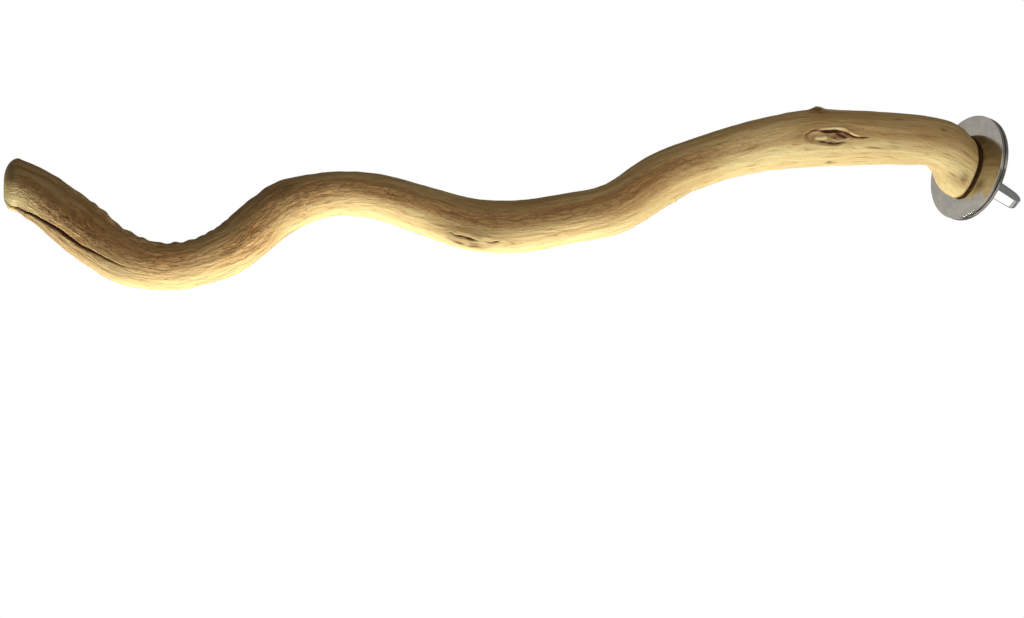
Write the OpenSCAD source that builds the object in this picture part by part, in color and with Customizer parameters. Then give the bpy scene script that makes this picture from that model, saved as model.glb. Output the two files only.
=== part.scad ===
// Crooked hardwood perch that clamps to the wire of a cage.
// The stud lies along X and points to +X, away from the stick. Z is up.
// The origin is where the two washers meet, on the axis of the stud.

/* [Stick] */
// Straight distance from the cut end of the stick to its free end
stick_len = 355; // [300:5:420]
// Common thickness of the stick
stick_d = 20; // [17:0.5:24]
// Turn of the stick away from square to the cage
stick_swing = 36; // [20:1:45]
// Distance that the cut end sits above the stud and to its side
cut_offset = 1.5; // [0:0.1:2]

/* [Hanger bolt] */
// Outer diameter of the machine thread
stud_d = 6; // [5:0.5:8]
// Length of the machine thread past the cut end of the stick
stud_len = 15.5; // [14:0.5:24]
// Bevel on the end of the machine thread
stud_bevel = 0.8; // [0.3:0.1:1]
// Diameter of the screw end in the wood
screw_d = 5.3; // [4:0.1:6]
// Length of the screw end in the wood, with its point
screw_len = 17; // [12:1:18]
// Length of the point of the screw end
screw_point = 4; // [2:0.5:6]

/* [Washers] */
// Outer diameter of each washer
washer_d = 40; // [30:1:50]
// Thickness of each washer
washer_t = 1.5; // [1:0.1:2.5]
// Radial gap between a washer and the stud
washer_gap = 0.3; // [0.2:0.05:0.6]
// Bevel of the stamped rim of a washer
washer_edge = 0.3; // [0.1:0.05:0.45]

/* [Wing nut] */
// Diameter of the boss where it meets the washer
boss_base_d = 12.6; // [11:0.1:15]
// Diameter of the boss at its top
boss_top_d = 10.4; // [10:0.1:11]
// Height of the boss
boss_h = 8; // [7:0.5:10]
// Bevel round the boss
boss_bevel = 0.6; // [0.2:0.1:0.8]
// Radial gap between the nut and the stud
nut_gap = 0.05; // [0.02:0.01:0.09]
// Distance from the axis to the outermost point of a wing
wing_reach = 15.8; // [14.5:0.1:18]
// Height of the wings above the washer
wing_h = 16.6; // [15:0.1:18]
// Radius of the round tip of a wing
wing_tip_r = 3.9; // [3.5:0.1:4.2]
// Radius of the root of a wing, where it leaves the boss
wing_root_r = 2.9; // [2.4:0.1:3]
// Thickness of a wing at its rim
wing_t = 3.8; // [3:0.1:4]
// Width of the raised rim round the recess in a wing
wing_rim = 1.3; // [1:0.1:1.5]
// Depth of the recess in each face of a wing
wing_recess = 0.8; // [0.4:0.1:1]
// Turn of the wings about the stud
wing_turn = 60; // [0:5:180]

/* [Hidden] */
$fn = 64;
// Facets of a circle whose hull makes the outline of a wing
hull_fn = 32;
// Overrun that lets a cut clear the face that it starts from
over = 1;

// Wood: shares of the stick's length along its reach, its rise and its sway towards one
// side, and a share of its thickness, at places along the stick from the cut to the tip.
stick_shares = [
    [0.000,  0.000, 0.000, 1.00],
    [0.020,  0.010, 0.014, 1.02],
    [0.045,  0.012, 0.026, 0.97],
    [0.080,  0.010, 0.035, 0.96],
    [0.120,  0.008, 0.039, 1.00],
    [0.170,  0.004, 0.041, 1.04],
    [0.220, -0.006, 0.040, 0.95],
    [0.270, -0.022, 0.038, 0.92],
    [0.320, -0.044, 0.033, 0.98],
    [0.370, -0.076, 0.025, 0.96],
    [0.420, -0.087, 0.018, 0.94],
    [0.470, -0.094, 0.010, 0.96],
    [0.520, -0.089, 0.004, 0.93],
    [0.570, -0.072, 0.001, 0.87],
    [0.620, -0.058, 0.000, 0.83],
    [0.670, -0.060, 0.002, 0.85],
    [0.720, -0.082, 0.004, 0.98],
    [0.770, -0.129, 0.006, 0.93],
    [0.820, -0.150, 0.007, 0.87],
    [0.870, -0.147, 0.008, 0.93],
    [0.920, -0.112, 0.007, 1.00],
    [0.960, -0.078, 0.006, 0.94],
    [0.990, -0.061, 0.005, 0.90],
];
// Swellings and hollows of the wood. Each has its place as a share of the reach, its angle
// round the stick from the sway side up, its height and its length as shares of the
// thickness, and its width in degrees.
bump_shares = [
    [0.000,  -98,  0.155, 0.50, 35],
    [0.000,   88,  0.080, 0.35, 35],
    [0.000,   10, -0.045, 0.40, 40],
    [0.011, -121,  0.100, 0.17, 27],
    [0.034, -120, -0.094, 0.30, 46],
    [0.146,  -24,  0.030, 0.80, 40],
    [0.146,  -24, -0.040, 0.35, 16],
    [0.156,   58,  0.060, 0.11, 13],
    [0.512,  -66,  0.100, 0.50, 30],
    [0.510,  -62, -0.045, 0.20, 12],
    [0.717,   66,  0.045, 0.30, 25],
    [0.990,   90,  0.085, 0.50, 45],
    [0.990,  -90,  0.060, 0.50, 45],
];
// Drying crack by the free end: where it starts and ends as shares of the reach, the angles
// there, its depth as a share of the thickness, and its width in degrees
crack_from_share = 0.87;
crack_to_share = 0.99;
crack_from_turn = -43;
crack_to_turn = -88;
crack_depth_share = 0.045;
crack_width = 9;
// Share of the crack's length over which it deepens from nothing
crack_run_in_share = 0.25;
// Uneven roundness of a grown stick, and how often it winds along the stick
oval_share = 0.018;
lobe_share = 0.012;
oval_winds = 3;
lobe_winds = 5;
// Rounding of the free end, as a share of the thickness along the stick and across it
tip_long_share = 0.26;
tip_flat_share = 0.45;
// Rings per station and points per ring, and rings in the rounded tip
ring_steps = 5;
ring_points = 36;
tip_rings = 5;
// Part of a station to each side over which the heading of the stick is taken
heading_step = 0.05;
// Stations over which the rings turn from the flat cut to square across the stick, and
// from there to the saw cut at the free end, which is square to the reach
cut_blend = 2.5;
saw_blend = 1;

stations = len(stick_shares) - 1;
rings = stations * ring_steps;
stud_r = stud_d / 2;
cut_x = -washer_t;
stud_end_x = cut_x + stud_len;

// The stick's own directions: its reach, the side that it sways to, and up
reach_dir = [-cos(stick_swing), sin(stick_swing), 0];
sway_dir = [-sin(stick_swing), -cos(stick_swing), 0];
up_dir = [0, 0, 1];
cut_centre = [cut_x, cut_offset, cut_offset];

function unit(v) = v / norm(v);
function ease(t) = let (c = max(0, min(1, t))) c * c * (3 - 2 * c);
// Row i of the table, with one more row past each end that carries on its line
function row(i) =
    i < 0 ? 2 * stick_shares[0] - stick_shares[1]
    : i > stations ? 2 * stick_shares[stations] - stick_shares[stations - 1]
    : stick_shares[i];
// Catmull-Rom curve through four rows, which passes through b at t = 0 and c at t = 1
function blend4(a, b, c, d, t) =
    (2 * b + (c - a) * t + (2 * a - 5 * b + 4 * c - d) * t * t + (3 * b - a - 3 * c + d) * t * t * t) / 2;
function shares_at(u) =
    let (i = min(stations - 1, floor(u)))
    blend4(row(i - 1), row(i), row(i + 1), row(i + 2), u - i);
function centre_at(u) =
    let (s = shares_at(u))
    cut_centre + stick_len * (s[0] * reach_dir + s[1] * up_dir + s[2] * sway_dir);
function heading_at(u) =
    let (a = max(0, u - heading_step), b = min(stations, u + heading_step))
    unit(centre_at(b) - centre_at(a));
// A ring stands square to this: the stud at the cut, the reach at the free end, and the
// stick in between
function ring_normal(u) =
    let (cut = 1 - ease(u / cut_blend), saw = ease((u - stations) / saw_blend + 1))
    unit(cut * [-1, 0, 0] + saw * reach_dir + (1 - cut - saw) * heading_at(u));
function ring_side(u) = unit(cross(up_dir, ring_normal(u)));
function ring_up(u) = cross(ring_normal(u), ring_side(u));
// Distance between two angles, taken the short way round
function turn_between(a, b) = let (d = (a - b) % 360) d > 180 ? d - 360 : d < -180 ? d + 360 : d;
function bell(x) = exp(-x * x);
function gap_between(u, share) = stick_len * (shares_at(u)[0] - share);
function bump(b, u, a) = b[2] * bell(gap_between(u, b[0]) / (b[3] * stick_d)) * bell(turn_between(a, b[1]) / b[4]);
function bumps(u, a) = [for (b = bump_shares) bump(b, u, a)] * [for (b = bump_shares) 1];
function crack(u, a) =
    let (
        t = (shares_at(u)[0] - crack_from_share) / (crack_to_share - crack_from_share),
        mid = crack_from_turn + (crack_to_turn - crack_from_turn) * t
    )
    crack_depth_share * ease(t / crack_run_in_share) * bell(turn_between(a, mid) / crack_width);
function unevenness(u, a) =
    let (p = 360 * u / stations)
    oval_share * cos(2 * a + oval_winds * p) + lobe_share * cos(3 * a - lobe_winds * p);
// Radius of the wood at station u and angle a
function wood_r(u, a) =
    stick_d * (shares_at(u)[3] * (1 + unevenness(u, a)) / 2 + bumps(u, a) - crack(u, a));
// Point on the wood: angle 0 is the sway side, 90 is up, and scale draws the ring in
function wood_point(u, a, scale = 1, push = 0) =
    centre_at(u) + push * ring_normal(u)
    + scale * wood_r(u, a) * (cos(a) * ring_side(u) + sin(a) * ring_up(u));
function ring(u, scale = 1, push = 0) =
    [for (j = [0 : ring_points - 1]) wood_point(u, 360 * j / ring_points, scale, push)];
// Rings of the rounded tip: a quarter of an oval from the side of the stick to its flat end
function tip_scale(k) = tip_flat_share + (1 - tip_flat_share) * cos(90 * k / tip_rings);
function tip_push(k) = stick_d * tip_long_share * sin(90 * k / tip_rings);

module skin(loops) {
    n = len(loops[0]);
    m = len(loops);
    sides = [for (i = [0 : m - 2], j = [0 : n - 1], half = [0, 1])
        let (a = i * n + j, b = i * n + (j + 1) % n)
        half == 0 ? [a, a + n, b] : [b, a + n, b + n]];
    ends = [[for (j = [0 : n - 1]) j], [for (j = [n - 1 : -1 : 0]) (m - 1) * n + j]];
    polyhedron([for (l = loops) each l], concat(sides, ends));
}

module along_stud() {
    rotate([0, 90, 0]) children();
}

// Peeled stick: rings from the flat cut to the last station, then those of the rounded tip
module peeled_stick() {
    skin(concat(
        [for (i = [0 : rings]) ring(i / ring_steps)],
        [for (k = [1 : tip_rings]) ring(stations, tip_scale(k), tip_push(k))]));
}

// The stick with the pilot hole for the screw end
module branch() {
    color("#D9B776")
    difference() {
        peeled_stick();
        translate([cut_x - screw_len, 0, 0]) along_stud()
            cylinder(d = screw_d, h = screw_len + over);
    }
}

// Double-ended steel screw: wood point, shank and machine thread in one turned outline
module hanger_bolt() {
    color("#B9BCC0")
    along_stud() rotate_extrude() polygon([
        [0, cut_x - screw_len],
        [screw_d / 2, cut_x - screw_len + screw_point],
        [screw_d / 2, cut_x],
        [stud_r, cut_x],
        [stud_r, stud_end_x - stud_bevel],
        [stud_r - stud_bevel, stud_end_x],
        [0, stud_end_x]]);
}

// Stamped penny washer with bevelled edges, whose lower face is at the start of the axis
module washer() {
    hole_r = stud_r + washer_gap;
    rim = washer_d / 2;
    rotate_extrude() polygon([
        [hole_r, 0],
        [rim - washer_edge, 0],
        [rim, washer_edge],
        [rim, washer_t - washer_edge],
        [rim - washer_edge, washer_t],
        [hole_r, washer_t]]);
}

module inner_washer() {
    color("#A9A39A") translate([cut_x, 0, 0]) along_stud() washer();
}

module outer_washer() {
    color("#B4B0A8") along_stud() washer();
}

// Outline of a wing on its own plane: a round tip and a round root joined by their
// tangents, drawn in by the width of the rim for the recess
module wing_outline(inset = 0) {
    tip = [wing_reach - wing_tip_r, wing_h - wing_tip_r];
    root = [boss_top_d / 2 - wing_rim, boss_h / 2];
    hull() {
        translate(tip) circle(r = wing_tip_r - inset, $fn = hull_fn);
        translate(root) circle(r = wing_root_r - inset, $fn = hull_fn);
    }
}

module wing() {
    difference() {
        rotate([90, 0, 0]) translate([0, 0, -wing_t / 2]) linear_extrude(wing_t) wing_outline();
        for (side = [-1, 1])
            translate([0, side * wing_t / 2, 0]) rotate([90, 0, 0])
                translate([0, 0, -wing_recess]) linear_extrude(2 * wing_recess) wing_outline(wing_rim);
    }
}

// Cast wing nut: a tapered boss with two wings, bored for the stud
module wing_nut() {
    color("#C4C7CA")
    translate([washer_t, 0, 0]) rotate([wing_turn, 0, 0]) along_stud()
    difference() {
        union() {
            rotate_extrude() polygon([
                [0, 0],
                [boss_base_d / 2 - boss_bevel, 0],
                [boss_base_d / 2, boss_bevel],
                [boss_top_d / 2, boss_h - boss_bevel],
                [boss_top_d / 2 - boss_bevel, boss_h],
                [0, boss_h]]);
            for (half = [0, 1]) rotate([0, 0, 180 * half + 90]) wing();
        }
        translate([0, 0, -over]) cylinder(r = stud_r + nut_gap, h = boss_h + 2 * over);
    }
}

branch();
hanger_bolt();
inner_washer();
outer_washer();
wing_nut();
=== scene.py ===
"""A crooked wooden cage perch: a peeled stick, a threaded stud, two wide washers and a wing nut."""

import math

import bpy
import numpy as np
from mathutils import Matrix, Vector


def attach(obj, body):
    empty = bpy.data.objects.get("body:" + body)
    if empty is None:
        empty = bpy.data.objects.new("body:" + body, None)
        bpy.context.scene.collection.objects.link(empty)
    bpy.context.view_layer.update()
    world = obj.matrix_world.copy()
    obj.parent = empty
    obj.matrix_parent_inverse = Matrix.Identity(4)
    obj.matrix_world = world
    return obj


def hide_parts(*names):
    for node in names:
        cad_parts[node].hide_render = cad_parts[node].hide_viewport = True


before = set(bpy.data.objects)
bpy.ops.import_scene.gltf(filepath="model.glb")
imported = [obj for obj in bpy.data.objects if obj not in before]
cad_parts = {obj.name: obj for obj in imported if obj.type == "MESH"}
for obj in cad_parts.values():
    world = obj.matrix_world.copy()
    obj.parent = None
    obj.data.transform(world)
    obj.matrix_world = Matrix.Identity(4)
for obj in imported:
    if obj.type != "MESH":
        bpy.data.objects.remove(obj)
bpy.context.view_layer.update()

# The stick
# A crooked hardwood branch, peeled, dried and left raw. It is sawn flat where the washer
# bears on it, drilled along the stud, and its free end is sawn level and tumbled round.
MM = 0.001
STICK_LENGTH = 355 * MM
STICK_THICKNESS = 20 * MM
STICK_SWING = math.radians(36)
WASHER_THICKNESS = 1.5 * MM
CUT_OFFSET = 1.5 * MM
# Stations over which the section turns out of the cut, and level with the free end's saw cut
CUT_BLEND = 2.5
SAW_BLEND = 1.0
# Shares of the radius by which the section is oval, and three-sided
OVAL, THREE_SIDED = 0.018, 0.012
# The free end: how far it is rounded, its flat middle, and how round it is, more on its top
TIP_LONG_SHARE = 0.26
TIP_FLAT_SHARE = 0.22
TIP_POWER, TIP_POWER_ON_TOP = 0.92, 0.10
RIM_BEVEL = 1.2 * MM
RINGS_ALONG = 424
POINTS_AROUND = 220
SCREW_DIAMETER = 5.3 * MM
SCREW_LENGTH = 17 * MM

# Reach, rise and sway as shares of the length, and a share of the thickness, from the cut on
STICK_SHARES = np.array([
    [0.000,  0.000, 0.000, 1.00],
    [0.020,  0.010, 0.014, 1.02],
    [0.045,  0.012, 0.026, 0.97],
    [0.080,  0.010, 0.035, 0.96],
    [0.120,  0.008, 0.039, 1.00],
    [0.170,  0.004, 0.041, 1.04],
    [0.220, -0.006, 0.040, 0.95],
    [0.270, -0.022, 0.038, 0.92],
    [0.320, -0.044, 0.033, 0.98],
    [0.370, -0.076, 0.025, 0.96],
    [0.420, -0.087, 0.018, 0.94],
    [0.470, -0.094, 0.010, 0.96],
    [0.520, -0.089, 0.004, 0.93],
    [0.570, -0.072, 0.001, 0.87],
    [0.620, -0.058, 0.000, 0.83],
    [0.670, -0.060, 0.002, 0.85],
    [0.720, -0.082, 0.004, 0.98],
    [0.770, -0.129, 0.006, 0.93],
    [0.820, -0.150, 0.007, 0.87],
    [0.870, -0.147, 0.008, 0.93],
    [0.920, -0.112, 0.007, 1.00],
    [0.960, -0.078, 0.006, 0.94],
    [0.990, -0.061, 0.005, 0.90],
])
# Swellings: reach, angle from the sway side up, height, length, and width in degrees
BUMP_SHARES = [
    (0.000,  -98,  0.155, 0.50, 35),
    (0.000,   88,  0.080, 0.35, 35),
    (0.000,   10, -0.045, 0.40, 40),
    (0.011, -121,  0.100, 0.17, 27),
    (0.034, -120, -0.094, 0.30, 46),
    (0.146,  -24,  0.030, 0.80, 40),
    (0.512,  -66,  0.100, 0.50, 30),
    (0.717,   66,  0.045, 0.30, 25),
    (0.990,   90,  0.085, 0.50, 45),
    (0.990,  -90,  0.060, 0.50, 45),
]
STATIONS = len(STICK_SHARES) - 1
REACH = np.array([-math.cos(STICK_SWING), math.sin(STICK_SWING), 0])
SWAY = np.array([-math.sin(STICK_SWING), -math.cos(STICK_SWING), 0])
UP = np.array([0.0, 0.0, 1.0])
CUT_CENTRE = np.array([-WASHER_THICKNESS, CUT_OFFSET, CUT_OFFSET])


def unit(v):
    """Each vector divided by its length."""
    return v / np.linalg.norm(v, axis=-1, keepdims=True)


def ease(t):
    """3t^2 - 2t^3 between 0 and 1, and flat outside."""
    t = np.clip(t, 0, 1)
    return t * t * (3 - 2 * t)


def bell(x):
    """exp(-x^2)."""
    return np.exp(-x * x)


def turn_between(a, b):
    """Difference of two angles in degrees, the short way round."""
    return (a - b + 180) % 360 - 180


def shares_at(u):
    """Catmull-Rom curve through the rows of the table, with a straight run past each end."""
    rows = np.vstack([2 * STICK_SHARES[0] - STICK_SHARES[1], STICK_SHARES,
                      2 * STICK_SHARES[-1] - STICK_SHARES[-2]])
    i = np.minimum(STATIONS - 1, np.floor(u).astype(int))
    t = (u - i)[:, None]
    a, b, c, d = (rows[i + k] for k in range(4))
    return (2 * b + (c - a) * t + (2 * a - 5 * b + 4 * c - d) * t**2
            + (3 * b - a - 3 * c + d) * t**3) / 2


def centre_at(u):
    """The cut's centre plus the length times reach, rise and sway in their own directions."""
    s = shares_at(u)
    return CUT_CENTRE + STICK_LENGTH * (s[:, 0:1] * REACH + s[:, 1:2] * UP + s[:, 2:3] * SWAY)


def ring_axes(u):
    """Normal, side and up of each ring: along the stud at the cut, level at the free end."""
    step = 0.05
    heading = unit(centre_at(np.minimum(STATIONS, u + step)) - centre_at(np.maximum(0, u - step)))
    cut = 1 - ease(u / CUT_BLEND)[:, None]
    saw = ease((u - STATIONS) / SAW_BLEND + 1)[:, None]
    normal = unit(cut * np.array([-1.0, 0, 0]) + saw * REACH + (1 - cut - saw) * heading)
    side = unit(np.cross(UP, normal))
    return normal, side, np.cross(normal, side)


def waves(p, size, count, seed):
    """Smooth noise from -1 to 1: a mean of plane sine waves whose length is about size."""
    rng = np.random.default_rng(seed)
    total = np.zeros(p.shape[:-1])
    for _ in range(count):
        way = unit(rng.normal(size=3)) / np.asarray(size)
        total += np.sin(2 * math.pi * (p @ way) + rng.uniform(0, 2 * math.pi))
    return total * math.sqrt(2 / count) / 2


def wood_radius(u, angle):
    """Half the thickness, made uneven by two windings, with a bell for each swelling."""
    s = shares_at(u)
    wind = 360 * u[:, None] / STATIONS
    a = angle[None, :]
    uneven = (OVAL * np.cos(np.radians(2 * a + 3 * wind))
              + THREE_SIDED * np.cos(np.radians(3 * a - 5 * wind)))
    r = s[:, 3:4] * (1 + uneven) / 2
    for place, turn, height, length, width in BUMP_SHARES:
        gap = STICK_LENGTH * (s[:, 0:1] - place) / (length * STICK_THICKNESS)
        r = r + height * bell(gap) * bell(turn_between(a, turn) / width)
    return STICK_THICKNESS * r


def slit(place, angle, path, width, depth):
    """A groove along a path of (reach share, degrees) points: how deep it is at each point.

    The path is joined by straight runs. The groove is a V, whose depth and width go as the
    square root of the distance to the nearer end, the width down to 0.35 of itself."""
    places, turns = (np.array(v, float) for v in zip(*sorted(path)))
    mid = np.interp(place, places, turns)[:, None]
    run = np.interp(place, [places[0], places[-1]], [0, 1], left=-1, right=2)[:, None]
    ends = np.sqrt(np.clip(4 * run * (1 - run), 0, 1))
    across = np.radians(np.abs(turn_between(angle[None, :], mid))) * STICK_THICKNESS / 2
    return depth * ends * np.clip(1 - across / (width * (0.35 + 0.65 * ends)), 0, 1)


# By the knots, how far it is along the wood for its reach, and its radius for its thickness
KNOT_ARC, KNOT_RADIUS = 1.02, 0.53


def on_wood(place, angle, centre):
    """Millimetres along the stick towards the washers, and up round it, from a spot on it."""
    forward = (centre[0] - place) * STICK_LENGTH * KNOT_ARC / MM
    upward = np.radians(turn_between(angle, centre[1])) * STICK_THICKNESS * KNOT_RADIUS / MM
    return np.broadcast_arrays(forward[:, None], upward[None, :])


def parted(place, turns, centre, length, height):
    """Angles moved so that the grain runs round an almond-shaped eye on the wood.

    The offset q across the grain becomes q * d^2 / (d^2 + h^2), where h is half the height
    and d is the distance to the centre once the length is squeezed to the height. That fades
    out as a bell 75 degrees wide round the stick."""
    forward = (place[:, None] - centre[0]) * STICK_LENGTH / MM * height / length
    upward = np.radians(turn_between(turns, centre[1])) * STICK_THICKNESS / 2 / MM
    square = forward**2 + upward**2
    pulled = upward * square / (square + height**2 / 4)
    near = bell(turn_between(turns, centre[1]) / 75)
    return turns + near * np.degrees((pulled - upward) * MM / (STICK_THICKNESS / 2))


# Rings lie 1 mm apart, and closer round the two knots: reach, half width, how much closer
KNOT_RINGS = ((0.148, 0.034 / math.sqrt(2), 2.2), (0.508, 0.032, 0.8))
table_u = np.linspace(0, STATIONS, 4000)
steps = np.linalg.norm(np.diff(centre_at(table_u), axis=0), axis=1)
arc = np.concatenate([[0], np.cumsum(steps)])
table_place = shares_at(table_u)[:-1, 0]
density = 1 + sum(closer * bell((table_place - reach) / width)
                  for reach, width, closer in KNOT_RINGS)
count = np.concatenate([[0], np.cumsum(steps * density)])
u = np.interp(np.linspace(0, count[-1], RINGS_ALONG), count, table_u)
along = np.interp(u, table_u, arc)
angle = np.linspace(0, 360, POINTS_AROUND, endpoint=False)
place = shares_at(u)[:, 0]
radius = wood_radius(u, angle)

# Places on the stick as if it were straight, with the grain led round its knots
KNOT, HEALED_KNOT, TWIG, TWIG_SCAR = (0.152, -26), (0.508, -64), (0.157, 50), (0.712, 12)
turns = np.broadcast_to(angle, radius.shape)
for centre, length, height in ((KNOT, 20, 6.0), (HEALED_KNOT, 26, 5.0), (TWIG, 6, 3.2),
                               (TWIG_SCAR, 7, 3.0)):
    turns = parted(place, turns, centre, length, height)
straight = np.stack([np.broadcast_to(along[:, None], radius.shape),
                     radius * np.cos(np.radians(turns)),
                     radius * np.sin(np.radians(turns))], axis=-1)
# The same, where the grain sways up to 0.9 mm off its line
SWAY_SIZE, SWAY_DEPTH = (22 * MM, 9 * MM, 9 * MM), 0.9 * MM
swirl = np.stack([0 * radius, waves(straight, SWAY_SIZE, 24, 11),
                  waves(straight, SWAY_SIZE, 24, 12)], axis=-1)
wavy_place = straight + SWAY_DEPTH * swirl

# Long ribs and finer ones between them, crinkles, fewer by the washers, and the scaly ripple on
# top of the far half. Reaches where that rough half and the worn end begin, and are in full
ROUGH_HALF, WORN_END = (0.62, 0.77), (0.950, 0.985)
ribs = waves(wavy_place, (34 * MM, 3.4 * MM, 3.4 * MM), 48, 3)
fine_ribs = waves(wavy_place, (13 * MM, 1.5 * MM, 1.5 * MM), 64, 4)
ripple = waves(straight, (4.2 * MM, 8 * MM, 8 * MM), 40, 5)
crumple = (waves(wavy_place, (5.5 * MM, 1.9 * MM, 1.9 * MM), 80, 6)
           * ease((place + 0.08) / 0.28)[:, None])
patchy = 0.6 + 0.4 * waves(straight, (30 * MM, 10 * MM, 10 * MM), 24, 7)
rough = ease((place - ROUGH_HALF[0]) / (ROUGH_HALF[1] - ROUGH_HALF[0]))[:, None]
worn = ease((place - WORN_END[0]) / (WORN_END[1] - WORN_END[0]))[:, None]
scaly = rough * ease((np.sin(np.radians(angle)) - 0.35) / 0.4)
# Each layer, its height in mm, and the height that it gains where the wood is rough or scaly
relief = (1 - 0.9 * worn) * MM * sum(
    layer * (height + gain * where) for layer, height, gain, where in (
        (ribs, 0.10, 0.04, rough), (fine_ribs, 0.04, 0.04, rough),
        (patchy * crumple, 0.09, 0.05, rough), (ripple, 0.03, 0.30, scaly)))

# The drying cracks by the free end: paths of (reach, degrees), each with its width and depth
CRACK = [(0.868, -41), (0.877, -44), (0.893, -47), (0.910, -55), (0.932, -56), (0.958, -74),
         (0.990, -86), (1.100, -95)]
FINE_CRACK = [(0.905, 0), (0.932, -7), (0.955, -18), (0.985, -22)]
grooves = (slit(place, angle, CRACK, 0.95 * MM, 1.4 * MM)
           + slit(place, angle, FINE_CRACK, 0.40 * MM, 0.35 * MM))
# The broken knot by the elbow: a shallow eye whose upper edge overhangs a dark slit, with a
# torn chip left in its floor, split ends, and ridges of swollen wood round it. In mm, the
# eye's reach away from the washers and towards them, half height, drop, tilt and depth, and
# the chip's rise, middle, half length and half height
EYE_BACK, EYE_FRONT, EYE_HALF_HEIGHT = 8.2, 8.6, 2.5
EYE_DROP, EYE_TILT = 0.35, 0.10
EYE_DEPTH, CHIP_RISE = 0.80, 0.75
CHIP_MIDDLE, CHIP_HALF_LENGTH, CHIP_HALF_HEIGHT = (-2.1, -0.25), 2.7, 1.0
forward, upward = on_wood(place, angle, KNOT)
ragged = waves(straight, (5 * MM, 2.2 * MM, 2.2 * MM), 30, 21)
splintered = waves(straight, (3.0 * MM, 1.0 * MM, 1.0 * MM), 40, 22)
blunt = np.abs(np.minimum(forward, 0) / EYE_BACK) ** 2.6
pointed = np.abs(np.maximum(forward, 0) / EYE_FRONT) ** 1.7
off_middle = np.abs((upward + EYE_DROP + EYE_TILT * forward) / EYE_HALF_HEIGHT) ** 1.8
opening = 1 - blunt - pointed - off_middle + 0.20 * ragged
chip = ease((1 - ((forward - CHIP_MIDDLE[0]) / CHIP_HALF_LENGTH) ** 2
             - ((upward - CHIP_MIDDLE[1]) / CHIP_HALF_HEIGHT) ** 2 + 0.5 * splintered) / 0.7)
knot_floor = ease(opening / 0.5) * (EYE_DEPTH - CHIP_RISE * chip + 0.25 * splintered) * MM
# Slits and ridges: a path of (reach, degrees), a width and a depth or height in mm
KNOT_SLITS = [
    ([(0.1775, -32), (0.1755, -28), (0.1745, -20), (0.1713, -14.5), (0.1671, -11), (0.1615, -10.5),
      (0.1585, -12)], 0.42, 0.8),
    ([(0.1600, -12), (0.1559, -14), (0.1473, -13.5), (0.1412, -13.5), (0.1352, -15.5)], 0.75, 1.6),
    ([(0.1380, -14), (0.1298, -19.5), (0.1250, -25), (0.1187, -27), (0.1080, -26)], 0.50, 1.0),
    ([(0.1752, -21), (0.1744, -26), (0.1738, -32)], 0.85, 1.3),
    ([(0.1800, -19), (0.1795, -27), (0.1763, -36), (0.1713, -39)], 0.35, 0.30),
    ([(0.1643, -32), (0.1582, -35.5), (0.1516, -38), (0.1455, -40.5), (0.1394, -39.5),
      (0.1339, -35.5)], 0.50, 0.80),
    ([(0.1690, -16), (0.1665, -22), (0.1670, -31)], 0.35, 0.45),
    ([(0.1440, -17), (0.1370, -23), (0.1310, -28)], 0.90, 0.9),
    ([(0.1520, -19), (0.1460, -26), (0.1400, -33)], 0.45, 0.5),
    ([(0.1665, 42), (0.1643, 38), (0.1620, 42)], 0.45, 0.6),
    ([(0.1590, 37), (0.1560, 33), (0.1525, 38)], 0.50, 0.6),
    ([(0.1605, 49), (0.1580, 43), (0.1550, 46)], 0.40, 0.5),
    ([(0.1700, -41), (0.1600, -46), (0.1500, -48), (0.1380, -46)], 0.30, 0.20),
    ([(0.1265, -46), (0.1237, -48), (0.1200, -48)], 0.40, 0.4),
    ([(0.1500, -84), (0.1485, -86), (0.1440, -90)], 0.50, 0.5),
    ([(0.1120, -45.5), (0.1000, -48), (0.0915, -50)], 0.36, 0.5),
    ([(0.0875, -53), (0.0845, -54)], 0.35, 0.4),
    ([(0.0775, -55), (0.0745, -55)], 0.30, 0.4),
    ([(0.0160, -84), (0.0100, -90)], 0.40, 0.4),
    ([(0.0130, -74), (0.0080, -80)], 0.35, 0.3),
]
KNOT_RIDGES = [
    ([(0.1765, -14), (0.1717, -8.5), (0.1657, -6.5), (0.1578, -7.5), (0.1430, -8)], 0.90, 0.30),
    ([(0.1500, -8), (0.1412, -7.5), (0.1348, -8), (0.1298, -12.5), (0.1240, -19), (0.1170, -22)],
     1.00, 0.70),
    ([(0.1780, -35), (0.1713, -37), (0.1639, -41), (0.1530, -44), (0.1389, -44), (0.1310, -36),
      (0.1250, -30)], 0.80, 0.30),
    ([(0.1475, -30), (0.1394, -35.5), (0.1330, -32), (0.1280, -28)], 0.45, 0.35),
    ([(0.1775, -16), (0.1775, -25), (0.1755, -34)], 0.60, 0.25),
    ([(0.1712, -18), (0.1690, -24), (0.1690, -32)], 0.40, 0.35),
    ([(0.1810, -10), (0.1700, -2), (0.1560, 0), (0.1460, -2)], 0.90, 0.22),
    ([(0.1790, 4), (0.1660, 8), (0.1540, 9), (0.1420, 4), (0.1340, -1)], 1.10, 0.28),
]
# Torn edges where pale fresh wood shows, partly a painted highlight where the knot's upper lip and
# ridges face the lamps below, and their widths in mm
BARE_AND_LIT_PATHS = [
    ([(0.1600, -9.5), (0.1492, -10), (0.1412, -9.5), (0.1348, -10), (0.1298, -14.5)], 0.75),
    ([(0.1475, -30), (0.1394, -35.5), (0.1330, -32), (0.1280, -28)], 0.45),
    ([(0.1298, -17), (0.1240, -21.5), (0.1190, -24)], 0.40),
]
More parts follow.
